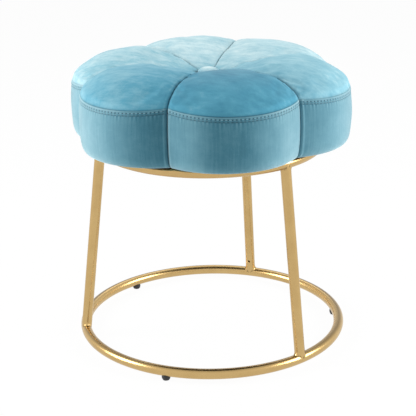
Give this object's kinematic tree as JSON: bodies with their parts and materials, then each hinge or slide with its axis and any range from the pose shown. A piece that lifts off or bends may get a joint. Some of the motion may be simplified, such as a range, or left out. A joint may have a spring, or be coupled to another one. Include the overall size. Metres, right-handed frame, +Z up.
{
  "type": "vanity stool",
  "caption": "Low upholstered vanity stool: a petalled, button-tufted velvet seat on a splayed round-tube frame with a base ring and small glides.",
  "frame": {"origin": "on the floor, under the middle of the seat", "axes": "+Z up; +Y towards the leg at the back; +X to the right, along a petal's middle line"},
  "size_m": [0.4448, 0.431, 0.4531],
  "materials": {
    "seat_velvet": "short-pile velvet, pale where it catches the light",
    "frame_tube": "satin gold plating over steel tube",
    "glide_plastic": "moulded black plastic",
    "fastener_steel": "zinc plated",
    "board_wood": "raw plywood",
    "seat_foam": "open-cell upholstery foam",
    "cover_cloth": "thin non-woven cloth",
    "twine": "waxed upholstery twine"
  },
  "bodies": {
    "root": {"base_ring": "frame_tube", "seat_ring": "frame_tube", "leg_back": "frame_tube", "leg_left": "frame_tube", "leg_right": "frame_tube", "mounting_tab_1": "frame_tube", "mounting_tab_2": "frame_tube", "mounting_tab_3": "frame_tube", "glides": "glide_plastic", "mount_bolts": "fastener_steel", "mount_nuts": "fastener_steel", "dust_cover_staples": "fastener_steel", "seat_board": "board_wood", "foam_core": "seat_foam", "dust_cover": "cover_cloth", "tuft_twine": "twine", "twine_toggle": "glide_plastic", "petal_tops": "seat_velvet", "side_band": "seat_velvet", "tuft_button": "seat_velvet"}
  },
  "joints": []
}
